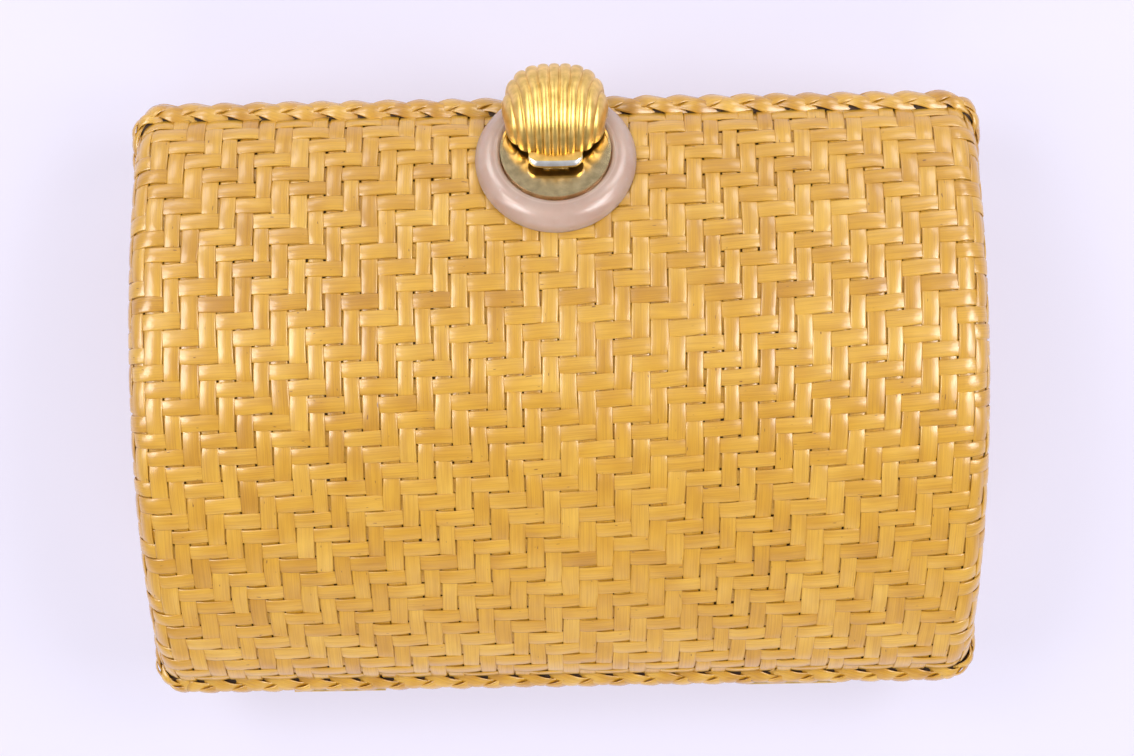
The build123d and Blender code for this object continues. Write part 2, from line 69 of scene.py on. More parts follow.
def joint_point(name):
    """Where a joint turns, in millimetres."""
    joint = next(entry for entry in frame["joints"] if entry["name"] == name)
    return Vector(joint["pos_m"]) / MM


# The box: its section, as in the solids
BAG_WIDTH = node_size("back_shell").x
BAG_HEIGHT = node_size("back_shell").y
END_RADIUS = 6.5
EDGE_RADIUS = 18.0
CROWN = math.radians(36.0)
EDGE = math.radians(70.0)
BACK_FLAT = 22.5
FRONT_FLAT = 0.0
# The back's strips lie deeper in its wall, so that the bag still rests on z = 0
BACK_SINK = 0.54
RIM_HEIGHT = node_size("front_rim").z
RIM_GAP = 0.15
RIM_HALF_X = node_size("back_rim").x / 2
RIM_HALF_Y = node_size("back_rim").y / 2
RIM_PROUD = RIM_HALF_Y - BAG_HEIGHT / 2
RIM_END_PROUD = RIM_HALF_X - BAG_WIDTH / 2
RIM_CORNER = END_RADIUS + RIM_END_PROUD
PARTING = joint_point("front_open").z

# A half: its body, half the flat of its section, the height and direction of its middle, and the sink
# of its strips
Half = namedtuple("Half", "name flat apex way sink")


def crown_radius(flat):
    """Radius of the wide crown of a half's section."""
    edge_rise = EDGE_RADIUS * (math.sin(EDGE) - math.sin(CROWN))
    return (BAG_HEIGHT / 2 - flat - edge_rise) / math.sin(CROWN)


def wall_depth(flat):
    """How far a half's wall falls from its middle to its rim."""
    edge_fall = EDGE_RADIUS * (math.cos(CROWN) - math.cos(EDGE))
    return crown_radius(flat) * (1 - math.cos(CROWN)) + edge_fall


def half_girth(flat):
    """Length of a half's section from its middle to its rim."""
    return flat + crown_radius(flat) * CROWN + EDGE_RADIUS * (EDGE - CROWN)


FRONT = Half("front", FRONT_FLAT, PARTING + RIM_GAP + RIM_HEIGHT + wall_depth(FRONT_FLAT), 1, 0.0)
BACK = Half("back", BACK_FLAT, 0.0, -1, BACK_SINK)


def section(half, along, out):
    """y and drop of points `along` a half's section from its middle, `out` from its skin."""
    radius = crown_radius(half.flat)
    reach = np.abs(along)
    crown_turn = np.clip((reach - half.flat) / radius, 0, CROWN)
    edge_run = np.clip(reach - half.flat - radius * CROWN, 0, None)
    edge_turn = np.minimum(edge_run / EDGE_RADIUS, EDGE - CROWN)
    foot = edge_run - edge_turn * EDGE_RADIUS
    turn = crown_turn + edge_turn
    y = np.minimum(reach, half.flat) + (radius - EDGE_RADIUS) * np.sin(crown_turn)
    y = y + (EDGE_RADIUS + out) * np.sin(turn) + foot * math.cos(EDGE)
    drop = (radius - EDGE_RADIUS) * np.cos(crown_turn) - radius
    drop = drop + (EDGE_RADIUS + out) * np.cos(turn) - foot * math.sin(EDGE)
    return np.sign(along) * y, drop


def end_fall(across):
    """Turn round the rounded end and run down the end wall, `across` the bag from its middle."""
    past = np.clip(np.abs(across) - (BAG_WIDTH / 2 - END_RADIUS), 0, None)
    turn = np.minimum(past / END_RADIUS, math.pi / 2)
    return turn, past - turn * END_RADIUS


def surface(half, across, along, lift):
    """Points of a half's woven skin: `across` the bag and over its ends, `along` its section."""
    across, along, lift = np.broadcast_arrays(across, along, lift)
    turn, down = end_fall(across)
    run = np.minimum(np.abs(across), BAG_WIDTH / 2 - END_RADIUS)
    x = np.sign(across) * (run + (END_RADIUS + lift) * np.sin(turn))
    out = (END_RADIUS + lift) * np.cos(turn) - END_RADIUS - down
    y, drop = section(half, along, out)
    return np.stack([x, y, half.apex + half.way * drop], -1)


# Meshes: each point carries its place along and across its strip, and its strip's tone from 0 to 1

TONE_MIDDLE_SHARE = 0.5


class Builder:
    """Collects the points, faces and strip values of one mesh."""

    def __init__(self):
        self.points = []
        self.quads = []
        self.grain = []
        self.tone = []
        self.count = 0

    def add(self, points, quads, grain=None, tone=TONE_MIDDLE_SHARE):
        """Add a group of points with its faces, its grain coordinates and its tone."""
        points = np.asarray(points, float).reshape(-1, 3)
        self.points.append(points)
        self.quads.append(np.asarray(quads, int).reshape(-1, 4) + self.count)
        self.grain.append(points if grain is None else np.asarray(grain, float).reshape(-1, 3))
        self.tone.append(np.full(len(points), tone) if np.isscalar(tone) else np.asarray(tone).ravel())
        self.count += len(points)

    def build(self, name, material):
        """Make the mesh, in metres, and the piece that shows it."""
        points = np.concatenate(self.points) * MM
        quads = np.concatenate(self.quads)
        mesh = bpy.data.meshes.new(name)
        mesh.vertices.add(len(points))
        mesh.vertices.foreach_set("co", points.ravel())
        mesh.loops.add(quads.size)
        mesh.loops.foreach_set("vertex_index", quads.ravel())
        mesh.polygons.add(len(quads))
        mesh.polygons.foreach_set("loop_start", np.arange(0, quads.size, 4))
        mesh.polygons.foreach_set("use_smooth", np.ones(len(quads), bool))
        grain = mesh.attributes.new("grain", "FLOAT_VECTOR", "POINT")
        grain.data.foreach_set("vector", np.concatenate(self.grain).astype(np.float32).ravel())
        tone = mesh.attributes.new("tone", "FLOAT", "POINT")
        tone.data.foreach_set("value", np.concatenate(self.tone).astype(np.float32))
        mesh.update(calc_edges=True)
        mesh.validate()
        mesh.materials.append(material)
        piece = bpy.data.objects.new(name, mesh)
        bpy.context.scene.collection.objects.link(piece)
        return piece


def grid_quads(rows, columns, closed=False):
    """Faces of a grid of points, row by row. A closed grid joins its last column to its first."""
    across = np.arange(columns if closed else columns - 1)
    row, column = np.meshgrid(np.arange(rows - 1), across, indexing="ij")
    after = (column + 1) % columns
    near = row * columns
    far = near + columns
    return np.stack([near + column, near + after, far + after, far + column], -1).reshape(-1, 4)


# Strips of straw: a flat section with soft edges, as shares of the half width and the thickness
STRIP_SECTION_SHARES = np.array(
    [(-1, 0.05), (-0.84, 0.4), (0, 0.5), (0.84, 0.4), (1, 0.05), (1, -0.5), (0, -0.5), (-1, -0.5)]
)
STRIP_CAP = np.array([(0, 1, 6, 7), (1, 2, 3, 6), (3, 4, 5, 6)])


def strip_quads(steps):
    """Faces of a strip with that many sections, closed at both ends."""
    ring = len(STRIP_SECTION_SHARES)
    sides = grid_quads(steps, ring, closed=True)
    return np.concatenate([sides, STRIP_CAP[:, ::-1], STRIP_CAP + (steps - 1) * ring])


# A slow random drift: its wavelength in millimetres, and its size in millimetres or as a share
Drift = namedtuple("Drift", "wavelength size")
DRIFT_OCTAVES = (1, 2, 3)
WAVELENGTH_SHARES = (0.8, 1.2)


def wander(rng, run, drift):
    """Slow random drift along a strip."""
    offset = np.zeros_like(run)
    for octave in DRIFT_OCTAVES:
        phase = rng.uniform(0, 2 * math.pi)
        wavelength = drift.wavelength * rng.uniform(*WAVELENGTH_SHARES)
        offset += np.sin(run * 2 * math.pi * octave / wavelength + phase) / octave
    return offset * drift.size / 2


# Weave: a two-over-two twill of wefts across the bag and warps along its section

WEAVE_ROWS = 39
WEAVE_PITCH = 4.41
WEAVE_PERIOD = 4
WEAVE_LIFT = 0.3
STRIP_THICKNESS = 0.42
STRIP_WIDTH_SHARE = 0.97
WEFT_WIDTH_SHARES = (0.9, 1.05)
WARP_WIDTH_SHARES = (0.89, 1.05)
STRIP_TUCK = 1.2
STRIP_WIDTH_DRIFT = Drift(60.0, 0.07)
STRIP_PLACE_DRIFT = Drift(45.0, 0.24)
STRIP_ROLL_DRIFT = Drift(21.0, 0.09)
STRIP_TONE_DRIFT = Drift(30.0, 0.16)
TONE_SPREAD_SHARE = 0.12
GRAIN_STEP = 7.31
REACH_SAMPLES = 800
STEEPNESS = 1.8
WEAVE_LEAN = 2.4
LEAN_START = -30.0
LEAN_END = 70.0
WEFT_RISE = 3.0
RISE_START = -40.0
RISE_END = 106.0
WEFT_WAVE = 0.17
WEAVE_SEED = 11


def over_under(phase):
    """Height of a strip in its twill, from 1 where it passes over to -1 where it passes under."""
    return np.tanh(STEEPNESS * np.sin(phase * math.pi / 2)) / math.tanh(STEEPNESS)


def lean(half, across, along):
    """How far the warps lean sideways, more towards the right end and the upper rim."""
    share = np.clip((across - LEAN_START) / (LEAN_END - LEAN_START), 0, 1)
    return WEAVE_LEAN * share * share * (3 - 2 * share) * along / half_girth(half.flat)


def weft_rise(half, across, along):
    """How far the wefts climb towards the right end, less near the rims."""
    share = np.clip((across - RISE_START) / (RISE_END - RISE_START), 0, 1)
    return WEFT_RISE * share * share * (1 - (along / half_girth(half.flat)) ** 2)


def first_below(half, run, points, tuck):
    """Where on `run` its points first lie `tuck` below the rim's level, or the end of the run."""
    drop = (points[:, 2] - half.apex) * half.way
    below = drop < -wall_depth(half.flat) - tuck
    return run[np.argmax(below)] if below.any() else run[-1]


def weft_reach(half, along):
    """How far a strip that lies `along` the section runs before it reaches the rim."""
    across = np.linspace(0, BAG_WIDTH / 2 + wall_depth(half.flat) + END_RADIUS, REACH_SAMPLES)
    return first_below(half, across, surface(half, across, along, 0.0), 0.0)


def warp_reach(half, across):
    """How far a strip that lies `across` the bag runs before it reaches the rim, or 0."""
    along = np.linspace(0, half_girth(half.flat) + STRIP_TUCK, REACH_SAMPLES)
    return first_below(half, along, surface(half, across, along, 0.0), STRIP_TUCK / 2)


def add_strip(builder, rng, half, run, place, lift, width, crosswise, number):
    """One strip along `run`, at `place` across it, with its grain and tone."""
    side_shares = STRIP_SECTION_SHARES[None, :, 0]
    height_shares = STRIP_SECTION_SHARES[None, :, 1]
    width = width * (1 + wander(rng, run, STRIP_WIDTH_DRIFT))
    place = place + wander(rng, run, STRIP_PLACE_DRIFT)
    roll = wander(rng, run, STRIP_ROLL_DRIFT)
    offset = side_shares * width[:, None] / 2
    side = place[:, None] + offset
    height = lift[:, None] + height_shares * STRIP_THICKNESS + roll[:, None] * side_shares
    along = np.broadcast_to(run[:, None], side.shape)
    if crosswise:
        points = surface(half, along, side, height)
    else:
        points = surface(half, side, along, height)
    grain = np.stack([along, offset, np.full(side.shape, number * GRAIN_STEP)], -1)
    own_tone = rng.normal(TONE_MIDDLE_SHARE, TONE_SPREAD_SHARE)
    tone = np.clip(own_tone + wander(rng, run, STRIP_TONE_DRIFT), 0, 1)
    builder.add(points, strip_quads(len(run)), grain, np.broadcast_to(tone[:, None], side.shape))


def weave(half, steps):
    """Strips of a half: wefts that run across it and down its ends, and warps along its section."""
    rng = np.random.default_rng(WEAVE_SEED + half.way)
    girth = half_girth(half.flat)
    pitch = 2 * girth / WEAVE_ROWS
    wefts, warps = Builder(), Builder()
    for row in range(WEAVE_ROWS):
        along = girth - (row + 0.5) * pitch
        reach = weft_reach(half, along) + STRIP_TUCK
        count = int(2 * reach / WEAVE_PITCH * steps)
        run = np.linspace(-reach, reach, count)
        phase = ((run - lean(half, run, along)) / WEAVE_PITCH - row) % WEAVE_PERIOD
        width = pitch * STRIP_WIDTH_SHARE * rng.uniform(*WEFT_WIDTH_SHARES)
        lift = WEAVE_LIFT * over_under(phase) - half.sink
        place = along + weft_rise(half, run, along) - WEFT_WAVE * np.cos(phase * math.pi / 2)
        add_strip(wefts, rng, half, run, place, lift, width, True, row)
    last = int((BAG_WIDTH / 2 + wall_depth(half.flat)) / WEAVE_PITCH)
    for column in range(-last, last):
        across = (column + 0.5) * WEAVE_PITCH
        reach = warp_reach(half, across)
        if reach < WEAVE_PITCH:
            continue
        count = int(2 * reach / pitch * steps)
        run = np.linspace(-reach, reach, count)
        row = (girth - run + weft_rise(half, across, run)) / pitch
        phase = (column + 1 - row) % WEAVE_PERIOD
        width = WEAVE_PITCH * STRIP_WIDTH_SHARE * rng.uniform(*WARP_WIDTH_SHARES)
        lift = -WEAVE_LIFT * over_under(phase) - half.sink
        place = across + lean(half, across, run)
        add_strip(warps, rng, half, run, place, lift, width, False, column)
    return wefts, warps


# Trays: the smooth inner wall and lining of a half

TRAY_POINTS = 96
END_STEPS = 7


def tray_rings(half, lift):
    """Sections of a half from one end wall to the other, each cut off at the rim."""
    radius = END_RADIUS + lift
    places = []
    for turn in np.linspace(math.pi / 2, 0, END_STEPS):
        x = BAG_WIDTH / 2 - END_RADIUS + radius * math.sin(turn)
        places.append((x, radius * math.cos(turn) - END_RADIUS))
    stations = [(-x, out) for x, out in places] + [(x, out) for x, out in reversed(places)]
    rings = []
    for x, out in stations:
        edge_turn = math.acos(EDGE_RADIUS * math.cos(EDGE) / (EDGE_RADIUS + out)) - CROWN
        reach = half.flat + crown_radius(half.flat) * CROWN + EDGE_RADIUS * edge_turn
        along = np.linspace(-reach, reach, TRAY_POINTS)
        y, drop = section(half, along, np.full(TRAY_POINTS, out))
        rings.append(np.stack([np.full(TRAY_POINTS, x), y, half.apex + half.way * drop], -1))
    return np.stack(rings)


def tray(name, half, outer_lift, inner_lift, material):
    """Closed thin shell between two offsets of a half's skin."""
    builder = Builder()
    outer = tray_rings(half, outer_lift)
    inner = tray_rings(half, inner_lift)
    rings = len(outer)
    size = rings * TRAY_POINTS
    sides = grid_quads(rings, TRAY_POINTS)
    left = np.arange(TRAY_POINTS // 2 - 1)
    mirror = TRAY_POINTS - 1 - left
    cap = np.stack([left, left + 1, mirror - 1, mirror], -1)
    caps = np.concatenate([cap[:, ::-1], cap + size - TRAY_POINTS])
    skin = np.concatenate([sides, caps])
    border = []
    for column in (0, TRAY_POINTS - 1):
        line = np.arange(rings) * TRAY_POINTS + column
        border.append(np.stack([line[:-1], line[1:], line[1:] + size, line[:-1] + size], -1))
    for ring in (0, rings - 1):
        ends = ring * TRAY_POINTS + np.array([0, TRAY_POINTS - 1])
        border.append(np.array([[ends[0], ends[1], ends[1] + size, ends[0] + size]]))
    faces = np.concatenate([skin, skin[:, ::-1] + size, *border])
    builder.add(np.concatenate([outer.reshape(-1, 3), inner.reshape(-1, 3)]), faces)
    return builder.build(name, material)


# Rims: a plait of three strands over a core of bound straw

PLAIT_STRANDS = 3
PLAIT_STEP = 8.3
PLAIT_SWING = 2.0
PLAIT_SHARPNESS_SHARE = 0.975
PLAIT_LIFT = 0.62
PLAIT_WIDTH = 3.8
PLAIT_THICKNESS = 0.34
PLAIT_FOOT = math.radians(-2.0)
PLAIT_TOP = math.radians(96.0)
PLAIT_BASE = 0.6
PLAIT_SAMPLES = 26
PLAIT_SWING_DRIFT = Drift(50.0, 0.25)
PLAIT_LIFT_DRIFT = Drift(30.0, 0.08)
PLAIT_WIDTH_DRIFT = Drift(22.0, 0.2)
PLAIT_TONE_DRIFT = Drift(17.0, 0.45)
PLAIT_GRAIN_STEP = 9.1
PLAIT_SEED = 5
CORE_POINTS = 9
CORE_BARE_FACES = 3
CORE_INNER_FACES = 2
CORE_STEPS = 240
CORE_SINK = 0.25
CORE_LEDGE = 3.2


def rim_girth():
    """Length of the rims' rounded outline."""
    straight = 4 * (RIM_HALF_X + RIM_HALF_Y - 2 * RIM_CORNER)
    return straight + 2 * math.pi * RIM_CORNER


def rim_path(along):
    """Points and outward directions of the rims' rounded outline, `along` it from the lower left."""
    half = np.array([RIM_HALF_X, RIM_HALF_Y]) - RIM_CORNER
    straights = np.array([2 * half[0], 2 * half[1], 2 * half[0], 2 * half[1]])
    ends = np.cumsum(straights + RIM_CORNER * math.pi / 2)
    along = np.asarray(along) % ends[-1]
    quarter = np.minimum(np.searchsorted(ends, along, side="right"), 3)
    run = along - np.concatenate(([0], ends))[quarter]
    heading = quarter * math.pi / 2
    starts = np.array([(-1, -1), (1, -1), (1, 1), (-1, 1)]) * half
    straight = np.minimum(run, straights[quarter])
    normal = heading - math.pi / 2 + np.maximum(run - straights[quarter], 0) / RIM_CORNER
    x = starts[quarter, 0] + straight * np.cos(heading) + RIM_CORNER * np.cos(normal)
    y = starts[quarter, 1] + straight * np.sin(heading) + RIM_CORNER * np.sin(normal)
    return x, y, np.cos(normal), np.sin(normal)


def rim_proud(normal_y):
    """How far a rim stands out from the wall, less at the bag's ends than along its edges."""
    return RIM_END_PROUD + (RIM_PROUD - RIM_END_PROUD) * normal_y**2


def rim_surface(half, along, turn, lift):
    """Points of a rim's rounded outer face, from its foot at the parting plane up to the wall."""
    x, y, normal_x, normal_y = rim_path(along)
    proud = rim_proud(normal_y)
    height = RIM_HEIGHT - PLAIT_BASE
    radial = -proud + (proud + lift) * np.cos(turn)
    z = RIM_GAP + PLAIT_BASE + (height + lift) * np.sin(turn)
    x, y, z = np.broadcast_arrays(x + normal_x * radial, y + normal_y * radial, PARTING + half.way * z)
    return np.stack([x, y, z], -1)


def plaited_rim(half, material):
    """Three flat strands plaited along a rim, each passing over and under the others."""
    rng = np.random.default_rng(PLAIT_SEED + half.way)
    girth = rim_girth()
    folds = round(girth / PLAIT_STEP / PLAIT_STRANDS) * PLAIT_STRANDS
    period = girth / folds * PLAIT_STRANDS
    turn_length = (RIM_HEIGHT + RIM_PROUD) / 2
    middle = (PLAIT_FOOT + PLAIT_TOP) / 2
    builder = Builder()
    side_shares = STRIP_SECTION_SHARES[None, :, 0]
    rise_shares = STRIP_SECTION_SHARES[None, :, 1] - STRIP_SECTION_SHARES[:, 1].min()
    count = int(girth / period * PLAIT_SAMPLES)
    run = np.linspace(0, girth, count)
    for strand in range(PLAIT_STRANDS):
        angle = 2 * math.pi * (run / period + strand / PLAIT_STRANDS)
        fold = np.arcsin(PLAIT_SHARPNESS_SHARE * np.sin(angle)) / math.asin(PLAIT_SHARPNESS_SHARE)
        swing = PLAIT_SWING * fold + wander(rng, run, PLAIT_SWING_DRIFT)
        slope = np.gradient(swing, run)
        lift = -PLAIT_LIFT * np.sin(2 * angle) + wander(rng, run, PLAIT_LIFT_DRIFT)
        width = PLAIT_WIDTH * (1 + wander(rng, run, PLAIT_WIDTH_DRIFT))
        tilt = np.arctan(slope)
        side = side_shares * width[:, None] / 2
        along = run[:, None] - side * np.sin(tilt)[:, None]
        across = swing[:, None] + side * np.cos(tilt)[:, None]
        height = lift[:, None] + PLAIT_THICKNESS * rise_shares
        points = rim_surface(half, along, middle + across / turn_length, height)
        straight = np.broadcast_to(run[:, None], side.shape)
        grain = np.stack([straight, side, np.full(side.shape, strand * PLAIT_GRAIN_STEP)], -1)
        tone = np.clip(TONE_MIDDLE_SHARE + wander(rng, run, PLAIT_TONE_DRIFT), 0, 1)
        builder.add(points, strip_quads(count), grain, np.broadcast_to(tone[:, None], side.shape))
    return builder.build(f"{half.name}_plaited_rim", material)


def rim_core(half, material, bare_material):
    """Bound straw under a rim's plait: a closed ring with a rounded outer face, whose faces under the strands take
    `material`, painted shade between the strands, and whose bare faces take `bare_material`.
    """
    along = np.linspace(0, rim_girth(), CORE_STEPS, endpoint=False)[:, None]
    turns = np.linspace(PLAIT_FOOT, PLAIT_TOP, CORE_POINTS)[None, :]
    outer = rim_surface(half, along, turns, np.full((1, CORE_POINTS), -CORE_SINK))
    x, y, normal_x, normal_y = rim_path(along[:, 0])
    depth = rim_proud(normal_y) + CORE_LEDGE
    level = np.full_like(x, PARTING + half.way * RIM_GAP)
    low = np.stack([x - normal_x * CORE_SINK, y - normal_y * CORE_SINK, level], -1)
    inner = np.stack([x - normal_x * depth, y - normal_y * depth, level], -1)
    inner_top = inner.copy()
    inner_top[:, 2] += half.way * RIM_HEIGHT
    rings = np.concatenate([low[:, None], outer, inner_top[:, None], inner[:, None]], 1)
    builder = Builder()
    ring = rings.shape[1]
    quads = grid_quads(CORE_STEPS + 1, ring, closed=True) % (CORE_STEPS * ring)
    builder.add(rings, quads)
    piece = builder.build(f"{half.name}_rim_core", material)
    piece.data.materials.append(bare_material)
    bare = [*range(CORE_BARE_FACES), *range(ring - CORE_INNER_FACES, ring)]
    for face in range(CORE_STEPS * ring):
        if face % ring in bare:
            piece.data.polygons[face].material_index = 1
    return piece


# Clasp: sizes along and across its seat, which is tilted on the front's upper edge

CLASP_TILT = math.radians(35.0)
STONE_RADIUS = 20.3
STONE_BORE = 13.9
BEZEL_RADIUS = 13.75
DISH_DEPTH = 1.05
DOME_RADIUS = 13.5
DOME_WALL = 1.5
DOME_MIDDLE = 9.7
DOME_CENTRE_HEIGHT = 6.2
DOME_BASE = 7.6
RIBS = 11
RIB_FAN = 60.0
RIB_RISE = 0.8
DOME_SQUARENESS = 2.9
DOME_SKIRT = 5.0
SKIRT_GAP = 0.4
SKIRT_LEVEL = 11.0
SKIRT_SLOPE = math.tan(math.radians(6.5))
RIB_SAMPLES = 14
FAN_EDGE_SHARE = 0.9995
TINY = 1e-9
RIB_STEPS = 72
TAB_WIDTH = 13.2
TAB_END = 6.0
TAB_ROOT = 2.3
TAB_BASE = 7.6
TAB_THICKNESS = 1.5
TAB_CORNER = 2.2
TAB_BOW = 0.35
TAB_COLUMNS = 41
TAB_ROWS = 15
TAB_ROLL = 0.8
TAB_ROLL_POWER = 1.5
TAB_BAND_SHARE = 0.7
CLAW_WIDTH = 9.0
CLAW_THICKNESS = 2.2
CLAW_OFFSET = 3.0
CLAW_DROP = 3.6
CLAW_REACH = 7.8
NIB_DEPTH = 2.4
NIB_HEIGHT = 1.5
LUG_SPREAD = 7.5
LUG_THICKNESS = 1.4
PIVOT_ALONG = 8.0
PIVOT_HEIGHT = 9.6
EYE_RADIUS = 2.2
PLATE_TOP = 6.0
SPRING_WIDTH = 6.0
SPRING_HEEL = 12.0
SPRING_BEND = 2.0
SPRING_TIP = 4.2
SPRING_RISE = 1.3
SPRING_FOOT = 0.4
SPRING_EDGE = 0.2
SPRING_STEPS = 60
EDGE_SOFTNESS = 0.35
EDGE_SEGMENTS = 3
PIVOT = joint_point("clasp_press")


def on_clasp(points):
    """Points given as x, along and height on the tilted clasp seat, in the bag's frame."""
    points = np.asarray(points, float)
    x = points[..., 0]
    along = points[..., 1] - PIVOT_ALONG
    height = points[..., 2] - PIVOT_HEIGHT
    y = PIVOT.y + along * math.cos(CLASP_TILT) + height * math.sin(CLASP_TILT)
    z = PIVOT.z - along * math.sin(CLASP_TILT) + height * math.cos(CLASP_TILT)
    return np.stack([x, y, z], -1)


def dome_skin(radius, rise):
    """Grid over the dome: across its fanned ribs, and along each from base to base."""
    reach = DOME_MIDDLE + RIB_FAN
    base_rise = DOME_BASE - DOME_CENTRE_HEIGHT
    widest = math.asin(math.sqrt(radius**2 - base_rise**2) / reach) * FAN_EDGE_SHARE
    fans = np.linspace(-widest, widest, RIBS * RIB_SAMPLES + 1)
    rib = np.linspace(0, RIBS, RIBS * RIB_SAMPLES + 1)
    crest = np.sqrt(np.clip(1 - (2 * (rib % 1) - 1) ** 2, 0, 1))
    rib_radius = radius - rise * (1 - crest)
    circle = np.sqrt(np.maximum(radius**2 - (reach * np.sin(fans)) ** 2, base_rise**2))
    start = np.arcsin(np.clip(base_rise / circle, -1, 1))
    share = np.linspace(0, 1, RIB_STEPS)[None, :]
    turn = start[:, None] + (math.pi - 2 * start[:, None]) * share
    flat = reach * np.cos(fans)[:, None] + circle[:, None] * np.cos(turn)
    x = flat * np.sin(fans)[:, None]
    along = flat * np.cos(fans)[:, None] - RIB_FAN
    height = circle[:, None] * np.sin(turn)
    offset = np.stack([x, along - DOME_MIDDLE, height], -1) * (rib_radius / radius)[:, None, None]
    offset[..., 2] = np.maximum(offset[..., 2], base_rise)
    offset[..., :2] *= upper_corners(offset[..., 0], offset[..., 1])[..., None]
    points = offset + np.array([0, DOME_MIDDLE, DOME_CENTRE_HEIGHT])
    points[..., 2] -= skirt_drop(points[..., 1], points[..., 2])
    return points


def skirt_drop(along, height):
    """How far the dome's edge reaches down to the dish, with room in front for the press."""
    level = PLATE_TOP + SKIRT_GAP + SKIRT_SLOPE * np.clip(SKIRT_LEVEL - along, 0, None)
    share = np.clip(1 - (height - DOME_BASE) / DOME_SKIRT, 0, 1)
    return np.clip(DOME_BASE - level, 0, None) * share * share


def upper_corners(x, along):
    """How far the dome's upper half is broadened from a round to a rounded square outline."""
    reach = np.maximum(np.hypot(x, along), TINY)
    squared = (np.abs(x) / reach) ** DOME_SQUARENESS + (np.abs(along) / reach) ** DOME_SQUARENESS
    return np.where(along > 0, squared ** (-1 / DOME_SQUARENESS), 1.0)


def shell_quads(rows, columns):
    """Faces of a closed shell between two grids of points, the outer one first."""
    size = rows * columns
    skin = grid_quads(rows, columns)
    down = np.arange(rows) * columns
    over = np.arange(columns)
    lines = (down[::-1], down + columns - 1, over, over[::-1] + size - columns)
    border = [np.stack([line[:-1], line[:-1] + size, line[1:] + size, line[1:]], -1) for line in lines]
    return np.concatenate([skin, skin[:, ::-1] + size, *border])


def shell(name, outer, inner, material):
    """Closed shell between two grids of points."""
    rows, columns = outer.shape[:2]
    builder = Builder()
    builder.add(np.concatenate([outer.reshape(-1, 3), inner.reshape(-1, 3)]), shell_quads(rows, columns))
    return builder.build(name, material)


def fluted_dome(material):
    """Hollow dome with rounded ribs that fan out upwards."""
    outer = dome_skin(DOME_RADIUS, RIB_RISE)
    inner = dome_skin(DOME_RADIUS - DOME_WALL, 0)
    return shell("clasp_dome", on_clasp(outer), on_clasp(inner), material)


def thumb_tab(material, lip_material):
    """Tab below the dome: a band, then a rolled lip with rounded corners in a paler plate that paints the
    reflection of light from below.
    """
    half_width = TAB_WIDTH / 2
    x = half_width * np.sin(np.linspace(-math.pi / 2, math.pi / 2, TAB_COLUMNS))
    corner = np.clip((np.abs(x) - half_width + TAB_CORNER) / TAB_CORNER, 0, 1)
    front = TAB_END - TAB_BOW * (x / half_width) ** 2 - TAB_CORNER * (1 - np.sqrt(1 - corner**2))
    share = np.linspace(0, 1, TAB_ROWS)[:, None]
    along = -(TAB_ROOT + (front[None, :] - TAB_ROOT) * share)
    across = np.broadcast_to(x, along.shape)
    past_band = np.clip((share - TAB_BAND_SHARE) / (1 - TAB_BAND_SHARE), 0, 1)
    crown = TAB_BASE + TAB_THICKNESS - TAB_ROLL * past_band**TAB_ROLL_POWER
    top = np.stack([across, along, np.broadcast_to(crown, along.shape)], -1)
    low = np.stack([across, along, np.full(along.shape, TAB_BASE)], -1)
    piece = shell("thumb_tab", on_clasp(top), on_clasp(low), material)
    # The lip's faces take the paler plate, a painted reflection
    piece.data.materials.append(lip_material)
    first_lip = math.ceil((TAB_ROWS - 1) * TAB_BAND_SHARE) * (TAB_COLUMNS - 1)
    for face in range(first_lip, (TAB_ROWS - 1) * (TAB_COLUMNS - 1)):
        piece.data.polygons[face].material_index = 1
    return soften(piece)


def soften(piece):
    """Round the sharp edges of a piece."""
    bevel = piece.modifiers.new("edges", "BEVEL")
    bevel.width = EDGE_SOFTNESS * MM
    bevel.segments = EDGE_SEGMENTS
    return piece


BLOCK_FACES = [(0, 1, 3, 2), (4, 6, 7, 5), (0, 4, 5, 1), (2, 3, 7, 6), (0, 2, 6, 4), (1, 5, 7, 3)]


def soft_block(name, low, high, material, seat=None):
    """Block between two corners with rounded edges, on the clasp seat if `seat` places it there."""
    corners = np.array(list(itertools.product(*zip(low, high))))
    builder = Builder()
    builder.add(seat(corners) if seat else corners, BLOCK_FACES)
    return soften(builder.build(name, material))


def leaf_spring(material):
    """Leaf from its foot on the plate up to the thumb tab, thinner towards its tip."""
    along = np.linspace(SPRING_HEEL, -SPRING_TIP, SPRING_STEPS)[None, :]
    share = np.clip((SPRING_BEND - along) / (SPRING_BEND + SPRING_TIP), 0, 1)
    low = PLATE_TOP + SPRING_RISE * share
    high = low + SPRING_FOOT + (SPRING_EDGE - SPRING_FOOT) * share
    x, along = np.broadcast_arrays(np.array([[-SPRING_WIDTH / 2], [SPRING_WIDTH / 2]]), along)
    top = np.stack([x, along, np.broadcast_to(high, x.shape)], -1)
    foot = np.stack([x, along, np.broadcast_to(low, x.shape)], -1)
    return shell("leaf_spring", on_clasp(top), on_clasp(foot), material)


# Gussets: cloth triangles folded inwards between the halves

GUSSET_FOLD = node_size("left_gusset").x
GUSSET_END = node_size("left_gusset").y / 2
GUSSET_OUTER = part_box("right_gusset")[1].x / MM
GUSSET_POINT = 1.2
GUSSET_RISE = 0.5
GUSSET_THICKNESS = 0.3
GUSSET_ROWS = 49
GUSSET_COLUMNS = 61
GUSSET_TURN_SHARE = 0.012


